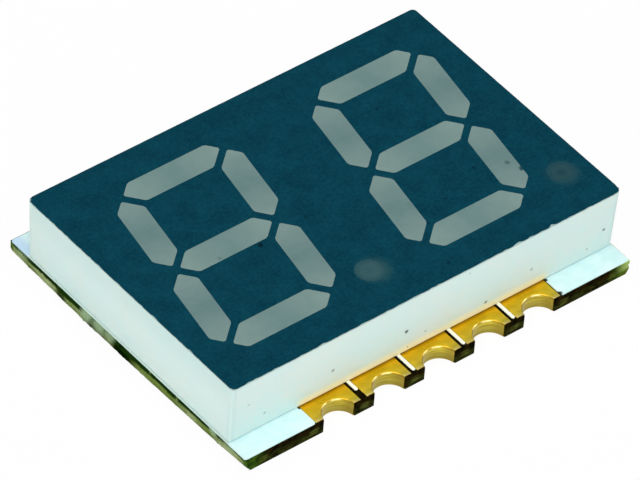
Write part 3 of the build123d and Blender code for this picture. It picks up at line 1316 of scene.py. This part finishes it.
@dataclass
class Housing(Reworked):
    """The white moulding, with its rim and its foot rounded."""

    node: str = "reflector_housing"
    rim_round: float = 0.012
    foot_round: float = 0.05
    foot_facets: int = 4
    foot_corner: float = 0.08
    wall_draft: float = 0.12
    border: float = 0.35

    def build(self) -> None:
        """Round the edges of the moulding and dress it."""
        bench = Bench("moulded_housing", self.node)
        bench.round_off(self.at_rim, self.rim_round)
        for facet in range(self.foot_facets):
            turn = pi / 2 * (facet + 1) / self.foot_facets
            bench.slice(UP, self.low.z + self.foot_round * (1.0 - cos(turn)))
        bench.shift(self.tucked)
        bench.deliver(WhiteMoulding().material())

    def outside(self, place: Vector) -> bool:
        """Say whether a place lies near the outer walls."""
        return abs(place.x) > self.high.x - self.border or abs(place.y) > self.high.y - self.border

    def at_rim(self, first: Vector, second: Vector) -> bool:
        """Say whether an edge with these ends lies on the outer rim."""
        upper = min(first.z, second.z) > self.high.z - Bench.weld
        return upper and self.outside(first) and self.outside(second)

    def tucked(self, place: Vector) -> Vector:
        """Move a corner low on the outer walls in, to round the foot.

        Args:
            place: The corner.

        Returns:
            How far it moves.
        """
        drop = min(self.foot_round, self.foot_round - (place.z - self.low.z))
        if drop <= 0.0 or not self.outside(place):
            return Vector()
        inset = self.wall_draft + self.foot_corner
        heart = Vector((self.high.x - inset, self.high.y - inset))
        return inward(place, heart) * (self.foot_round - sqrt(self.foot_round ** 2 - drop ** 2))


@dataclass(frozen=True)
class Nick:
    """A place where the edge of the ink is broken away."""

    x: float
    y: float
    reach: float
    depth: float


@dataclass
class FaceInk(Reworked):
    """The layer of ink on the face, with a ragged outer edge, most worn at the front and the left."""

    node: str = "face_ink"
    setback: float = -0.02
    wander: float = 0.012
    wander_length: float = 0.9
    grit: float = 0.06
    grit_length: float = 0.07
    sound_share: float = 0.15
    nick_share: float = 0.4
    corner: float = 0.2
    cuts_along: int = 520
    cuts_across: int = 340
    nicks: tuple[Nick, ...] = (
        Nick(4.45, -6.53, 0.16, 0.1),
        Nick(5.15, -6.53, 0.14, 0.12),
        Nick(5.7, -6.53, 0.1, 0.07),
        Nick(6.25, -6.53, 0.1, 0.12),
        Nick(-5.4, -6.53, 0.2, 0.07),
        Nick(-2.2, -6.53, 0.14, 0.08),
        Nick(-9.8, 6.53, 0.3, 0.1),
        Nick(9.8, -6.53, 0.4, 0.07),
        Nick(-9.8, -1.6, 0.2, 0.05),
        Nick(-9.8, 1.9, 0.16, 0.06),
    )

    @property
    def heart(self) -> Vector:
        """The half length and half width of the rectangle that the outline is rounded about."""
        return Vector((self.high.x - self.corner, self.high.y - self.corner))

    def build(self) -> None:
        """Wear the outer edge of the ink and dress it."""
        bench = Bench("ragged_face_ink", self.node)
        for side in (-1, 1):
            bench.slice(RIGHT, side * (self.heart.x - self.corner))
            bench.slice(BACK, side * (self.heart.y - self.corner))
        bench.divide(self.along, self.cuts_along)
        bench.divide(self.across, self.cuts_across)
        bench.shift(self.worn)
        bench.deliver(PrintedInk().material())

    def along(self, first: Vector, second: Vector) -> bool:
        """Say whether an edge with these ends is one of the long outer ones."""
        outer = min(abs(first.y), abs(second.y)) > self.high.y - Bench.weld
        return outer and abs(first.x - second.x) > self.heart.x

    def across(self, first: Vector, second: Vector) -> bool:
        """Say whether an edge with these ends is one of the short outer ones."""
        outer = min(abs(first.x), abs(second.x)) > self.high.x - Bench.weld
        return outer and abs(first.y - second.y) > self.heart.y

    def worn(self, place: Vector) -> Vector:
        """Move a corner of the ink's outline in, as far as the edge is worn there.

        Args:
            place: The corner.

        Returns:
            How far it moves.
        """
        if abs(place.x) <= self.heart.x and abs(place.y) <= self.heart.y:
            return Vector()
        return inward(place, self.heart) * self.depth_at(Vector((place.x, place.y, 0.0)))

    def depth_at(self, place: Vector) -> float:
        """Work out how far the edge of the ink stands back.

        Args:
            place: A place on the outline, with no height.

        Returns:
            The depth, less than zero where the ink runs over the rim.
        """
        front_left = min(place.x + self.high.x, place.y + self.high.y) < self.corner
        grit = max(0.0, noise.noise(place / self.grit_length))
        depth = self.wander * max(0.0, noise.noise(place / self.wander_length))
        depth = (1.0 if front_left else self.sound_share) * (self.setback + depth + self.grit * grit)
        for nick in self.nicks:
            gap = (place.xy - Vector((nick.x, nick.y))).length / nick.reach
            depth += nick.depth * max(0.0, 1.0 - gap * gap) * (self.nick_share + grit)
        return depth


@dataclass
class Castings:
    """The sixteen castings of cloudy epoxy: seven bars and a point in each digit."""

    across: str = "adg"
    upright: str = "bcef"
    specks: dict[str, tuple[Spot, ...]] = field(default_factory=lambda: {
        "right_digit_segment_c": (face_spot(7.09, -2.7, 0.16, 0.6), face_spot(7.36, -3.3, 0.2, 1.0)),
        "left_digit_segment_g": (face_spot(-5.69, -0.47, 0.12, 0.3),),
    })

    def build(self) -> None:
        """Dress each casting."""
        for digit in DIGITS:
            for letter in self.across:
                self.fill(f"{digit}_segment_{letter}", Clarity.ACROSS, RIGHT)
            for letter in self.upright:
                self.fill(f"{digit}_segment_{letter}", Clarity.UPRIGHT, LEANING)
        self.fill("left_digit_point", Clarity.DIM_POINT)
        self.fill("right_digit_point", Clarity.DULL_POINT)

    def fill(self, node: str, clarity: Clarity, along: Triple | None = None) -> None:
        """Dress one casting.

        Args:
            node: The CAD node of the casting.
            clarity: How its epoxy looks.
            along: The direction in which a bar lies, or nothing for a point.
        """
        low, high = box_of(node)
        size = high - low
        reach = (size.y if along == LEANING else size.x) / 2
        chip = tuple((low + high) / 2)
        finish = CloudyEpoxy(node, clarity, chip, reach, along, self.specks.get(node, ()))
        dress(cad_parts[node], finish.material())


@dataclass
class Terminal(Reworked):
    """One gold terminal: a rounded mouth, the drill's rings in its barrel and lands eaten by the etch."""

    bore: float = 0.75
    bore_offset: float = 0.11
    bore_slack: float = 0.01
    mouth_round: float = 0.075
    edge_round: float = 0.012
    edge_facets: int = 2
    ring_heights: tuple[float, ...] = (0.12, 0.2, 0.28, 0.37, 0.44, 0.52, 0.6)
    groove: float = 0.012
    ridge: float = 0.0036
    etch_back: float = 0.05

    def build(self, name: str, material: Material) -> Piece:
        """Model the terminal and dress it.

        Args:
            name: The name of the new piece.
            material: Its finish.

        Returns:
            The finished piece.
        """
        bench = Bench(name, self.node)
        bench.shift(self.etched)
        for height in self.ring_heights:
            bench.slice(UP, height)
        bench.shift(self.ringed)
        bench.round_off(self.at_mouth, self.mouth_round)
        bench.round_off(self.at_land, self.edge_round, self.edge_facets)
        return bench.deliver(material)

    def from_hole(self, place: Vector) -> Vector:
        """Return the level way to a place from the middle of the drilled hole."""
        edge = self.low.y - self.bore_offset if self.high.y < 0.0 else self.high.y + self.bore_offset
        return place.xy - Vector(((self.low.x + self.high.x) / 2, edge))

    def on_bore(self, place: Vector) -> bool:
        """Say whether a place lies on the wall of the hole."""
        return abs(self.from_hole(place).length - self.bore) < self.bore_slack

    def on_outside(self, place: Vector) -> bool:
        """Say whether a place lies on the outer side of a land."""
        return min(abs(place.z - self.low.z), abs(place.z - self.high.z)) < Bench.weld

    def at_land(self, first: Vector, second: Vector) -> bool:
        """Say whether an edge with these ends lies level on the outer side of a land."""
        level = abs(first.z - second.z) < Bench.weld
        return level and all(self.on_outside(end) for end in (first, second))

    def at_mouth(self, first: Vector, second: Vector) -> bool:
        """Say whether an edge with these ends lies on a mouth of the hole."""
        return self.at_land(first, second) and self.on_bore(first) and self.on_bore(second)

    def etched(self, place: Vector) -> Vector:
        """Return how far a corner on the right edge of the lands moves in."""
        return Vector((-self.etch_back, 0.0, 0.0)) if place.x > self.high.x - Bench.weld else Vector()

    def ringed(self, place: Vector) -> Vector:
        """Move a corner in the barrel out to a groove of the drill, or in to the ridge beside it.

        Args:
            place: The corner.

        Returns:
            How far it moves.
        """
        for turn, height in enumerate(self.ring_heights):
            if abs(place.z - height) < Bench.weld and self.on_bore(place):
                push = self.from_hole(place).normalized() * (self.groove if turn % 2 else -self.ridge)
                return push.to_3d()
        return Vector()


@dataclass
class Terminals:
    """The ten gold terminals, five along each long side."""

    per_side: int = 5

    def build(self) -> None:
        """Model one terminal of each row, copy it along the row and dress them all."""
        material = GoldPlate().material()
        for first in (1, self.per_side + 1):
            model = Terminal(f"terminal_{first}").build(f"plated_terminal_{first}", material)
            for number in range(first + 1, first + self.per_side):
                self.copy(model, first, number, material)

    def copy(self, model: Piece, first: int, number: int, material: Material) -> None:
        """Copy a modelled terminal to another place in its row.

        Args:
            model: The modelled piece.
            first: The number of the modelled piece.
            number: The number of the copy.
            material: The finish.
        """
        node = f"terminal_{number}"
        piece = bpy.data.objects.new(f"plated_terminal_{number}", model.data.copy())
        bpy.context.scene.collection.objects.link(piece)
        piece.data.transform(Matrix.Translation(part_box(node)[0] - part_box(f"terminal_{first}")[0]))
        enter(piece, node, material)


@dataclass
class Board(Reworked):
    """The laminate, with its two short ends snapped off rough.

    The left end is bowed, and the web of the right end has a shallow notch along it.
    """

    node: str = "circuit_board"
    score_inset: float = 0.16
    lip: float = 0.25
    cuts: int = 120
    web_cuts: int = 2
    web_rough: float = 0.05
    lip_rough: float = 0.02
    grit_length: float = 0.14
    grit_share: float = 0.6
    flake_length: float = 0.9
    flake_share: float = 0.8
    loss_share: float = 0.3
    lift_share: float = 0.4
    bow: float = 0.06
    bow_middle: float = 1.5
    bow_reach: float = 5.2
    corner_round: float = 0.3
    corner_loss: float = 0.045
    notch_height: float = 0.47
    notch_depth: float = 0.08
    notch_reach: float = 0.06

    @property
    def scored(self) -> float:
        """How far from the middle the scored ends start."""
        return self.high.x - self.score_inset - Bench.weld

    def build(self) -> None:
        """Break the ends of the board rough and dress it."""
        bench = Bench("snapped_board", self.node)
        for side in (-1, 1):
            bench.slice(RIGHT, side * (self.scored - self.lip))
        bench.divide(self.at_end, self.cuts)
        bench.divide(self.on_web, self.web_cuts)
        bench.shift(self.broken)
        bench.deliver(GlassLaminate(self.high.x).material())

    def at_end(self, first: Vector, second: Vector) -> bool:
        """Say whether an edge with these ends runs across the board at an end."""
        return min(abs(first.x), abs(second.x)) > self.scored and abs(first.y - second.y) > self.high.y

    def on_web(self, first: Vector, second: Vector) -> bool:
        """Say whether an edge with these ends lies on the web that snapped."""
        return min(abs(first.x), abs(second.x)) > self.high.x - Bench.weld

    def broken(self, place: Vector) -> Vector:
        """Move a corner at an end of the board, to break the end rough.

        Args:
            place: The corner.

        Returns:
            How far it moves.
        """
        if abs(place.x) < self.scored:
            return Vector()
        web = self.on_web(place, place)
        rough = self.web_rough if web else self.lip_rough
        grit = self.grit_share * noise.noise(place / self.grit_length)
        flake = self.flake_share * noise.noise(place / self.flake_length)
        push = rough * (grit + flake - self.loss_share)
        if place.x < 0.0 and place.z < self.high.z - Bench.weld:
            across = (place.y - self.bow_middle) / self.bow_reach
            push += self.bow * (1.0 - across * across)
        turn = max(0.0, 1.0 - (self.high.y - abs(place.y)) / self.corner_round)
        push -= self.corner_loss * turn * turn
        if place.x > 0.0 and web and abs(place.z - self.notch_height) < self.notch_reach:
            push -= self.notch_depth
        lift = self.lift_share * noise.noise((place + self.high) / self.grit_length)
        return Vector((copysign(1.0, place.x) * push, 0.0, rough * lift if web else 0.0))


@dataclass
class BottomMask(Reworked):
    """The white mask under the board, drawn back from the snapped ends."""

    node: str = "bottom_solder_mask"
    draw_back: float = 0.2

    def build(self, material: Material) -> None:
        """Draw the mask back and dress it.

        Args:
            material: Its finish.
        """
        bench = Bench("trimmed_mask", self.node)
        bench.shift(self.drawn)
        bench.deliver(material)

    def drawn(self, place: Vector) -> Vector:
        """Return how far a corner at an end of the mask moves towards the middle."""
        at_end = abs(place.x) > self.high.x - Bench.weld
        return Vector((-copysign(self.draw_back, place.x), 0.0, 0.0)) if at_end else Vector()


@dataclass
class SolderMasks:
    """The white mask on both sides of the board."""

    top: str = "top_solder_mask"

    def build(self) -> None:
        """Dress the top mask, and model and dress the bottom one."""
        material = WhiteMask().material()
        dress(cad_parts[self.top], material)
        BottomMask().build(material)


@dataclass
class InnerWorks:
    """The chips, wires and copper inside the light wells, and the finish of each."""

    finishes: dict[str, PlainFinish] = field(default_factory=lambda: {
        "led_chips": CHIP_CRYSTAL,
        "bond_wires": DRAWN_GOLD,
        "common_land": ETCHED_COPPER,
        "bond_pads": ETCHED_COPPER,
    })

    def build(self) -> None:
        """Dress what each digit holds inside."""
        for digit in DIGITS:
            for name, finish in self.finishes.items():
                dress(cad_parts[f"{digit}_{name}"], finish.material())


@dataclass(frozen=True)
class SoftBox:
    """A square lamp with a soft edge, aimed at the display."""

    name: str
    place: Triple
    side: float
    watts: float

    def build(self) -> None:
        """Hang the lamp."""
        lamp = bpy.data.lights.new(self.name, "AREA")
        lamp.size = self.side * MM
        lamp.energy = self.watts
        holder = bpy.data.objects.new(self.name, lamp)
        holder.location = Vector(self.place) * MM
        holder.rotation_euler = Vector(self.place).to_track_quat("Z", "Y").to_euler()
        holder.visible_camera = False
        bpy.context.scene.collection.objects.link(holder)


@dataclass
class Studio:
    """A white floor, a white surround, soft lamps and the camera."""

    floor_side: float = 4000.0
    floor_white: Colour = (0.9, 0.9, 0.9, 1.0)
    floor_lift: float = 0.96
    floor_drop: float = 0.02
    air_white: Colour = (1.0, 1.0, 1.0, 1.0)
    ambient: float = 0.35
    boxes: tuple[SoftBox, ...] = (
        SoftBox("overhead_box", (-60.0, -60.0, 520.0), 420.0, 1.22),
        SoftBox("front_panel", (-340.0, -270.0, 270.0), 380.0, 1.15),
        SoftBox("low_lamp", (360.0, -260.0, 130.0), 120.0, 0.15),
    )
    aim: Triple = (-1.816, -1.915, 3.75)
    azimuth: float = radians(-42.004)
    elevation: float = radians(43.444)
    roll: float = radians(4.854)
    distance: float = 314.98
    lens: float = 452.07
    sensor: float = 36.0

    def build(self) -> None:
        """Set up the studio."""
        self.lay_floor()
        self.fill_world()
        for box in self.boxes:
            box.build()
        self.set_camera()
        bpy.context.scene.view_settings.view_transform = "Standard"
        log.info("studio set")

    def seen(self, bench: NodeBench) -> Socket:
        """Mark the rays that look at the background: from the camera, a mirror or glass.

        Args:
            bench: The node tree that needs the mask.

        Returns:
            One for such a ray and zero for the rest.
        """
        rays = bench.add("ShaderNodeLightPath").outputs
        mirrors = bench.sum_up("MAXIMUM", rays["Is Glossy Ray"], rays["Is Transmission Ray"])
        return bench.sum_up("MAXIMUM", rays["Is Camera Ray"], mirrors)

    def lay_floor(self) -> None:
        """Lay a white floor that still takes the display's shadow."""
        bpy.ops.object.select_all(action="DESELECT")
        bpy.ops.mesh.primitive_plane_add(
            size=self.floor_side * MM,
            location=(0.0, 0.0, -self.floor_drop * MM),
        )
        floor = bpy.context.object
        floor.name = "studio_floor"
        material = bpy.data.materials.new("studio_white")
        material.use_nodes = True
        bench = NodeBench(material.node_tree)
        bench.tree.nodes.clear()
        matt = bench.add("ShaderNodeBsdfDiffuse")
        bench.feed(matt.inputs["Color"], self.floor_white)
        lit = bench.add("ShaderNodeEmission")
        mixed = bench.add("ShaderNodeMixShader")
        bench.feed(mixed.inputs[0], bench.sum_up("MULTIPLY", self.seen(bench), self.floor_lift))
        bench.feed(mixed.inputs[1], matt.outputs[0])
        bench.feed(mixed.inputs[2], lit.outputs[0])
        end = bench.add("ShaderNodeOutputMaterial")
        bench.feed(end.inputs["Surface"], mixed.outputs[0])
        dress(floor, material)

    def fill_world(self) -> None:
        """Fill the world with soft light, and show it white."""
        world = bpy.data.worlds.new("studio_air")
        world.use_nodes = True
        bpy.context.scene.world = world
        bench = NodeBench(world.node_tree)
        sky = world.node_tree.nodes["Background"]
        bench.feed(sky.inputs["Color"], self.air_white)
        bench.feed(sky.inputs["Strength"], bench.rise(self.seen(bench), (0.0, 1.0), self.ambient, 1.0))

    def set_camera(self) -> None:
        """Set the camera at the photograph's angle."""
        back = Vector((
            sin(self.azimuth) * cos(self.elevation),
            -cos(self.azimuth) * cos(self.elevation),
            sin(self.elevation),
        ))
        lens = bpy.data.cameras.new("photo_camera")
        lens.lens = self.lens
        lens.sensor_width = self.sensor
        lens.clip_start = MM
        camera = bpy.data.objects.new("photo_camera", lens)
        camera.location = (Vector(self.aim) + back * self.distance) * MM
        camera.rotation_mode = "QUATERNION"
        camera.rotation_quaternion = (-back).to_track_quat("-Z", "Y") @ Quaternion(UP, self.roll)
        bpy.context.scene.collection.objects.link(camera)
        bpy.context.scene.camera = camera


def main() -> None:
    """Build the display in order, then the studio."""
    logging.basicConfig(level=logging.INFO, format="%(message)s")
    assemblies = (Board, SolderMasks, Terminals, InnerWorks, Castings, Housing, FaceInk, Studio)
    for assembly in assemblies:
        assembly().build()


if __name__ == "__main__":
    main()
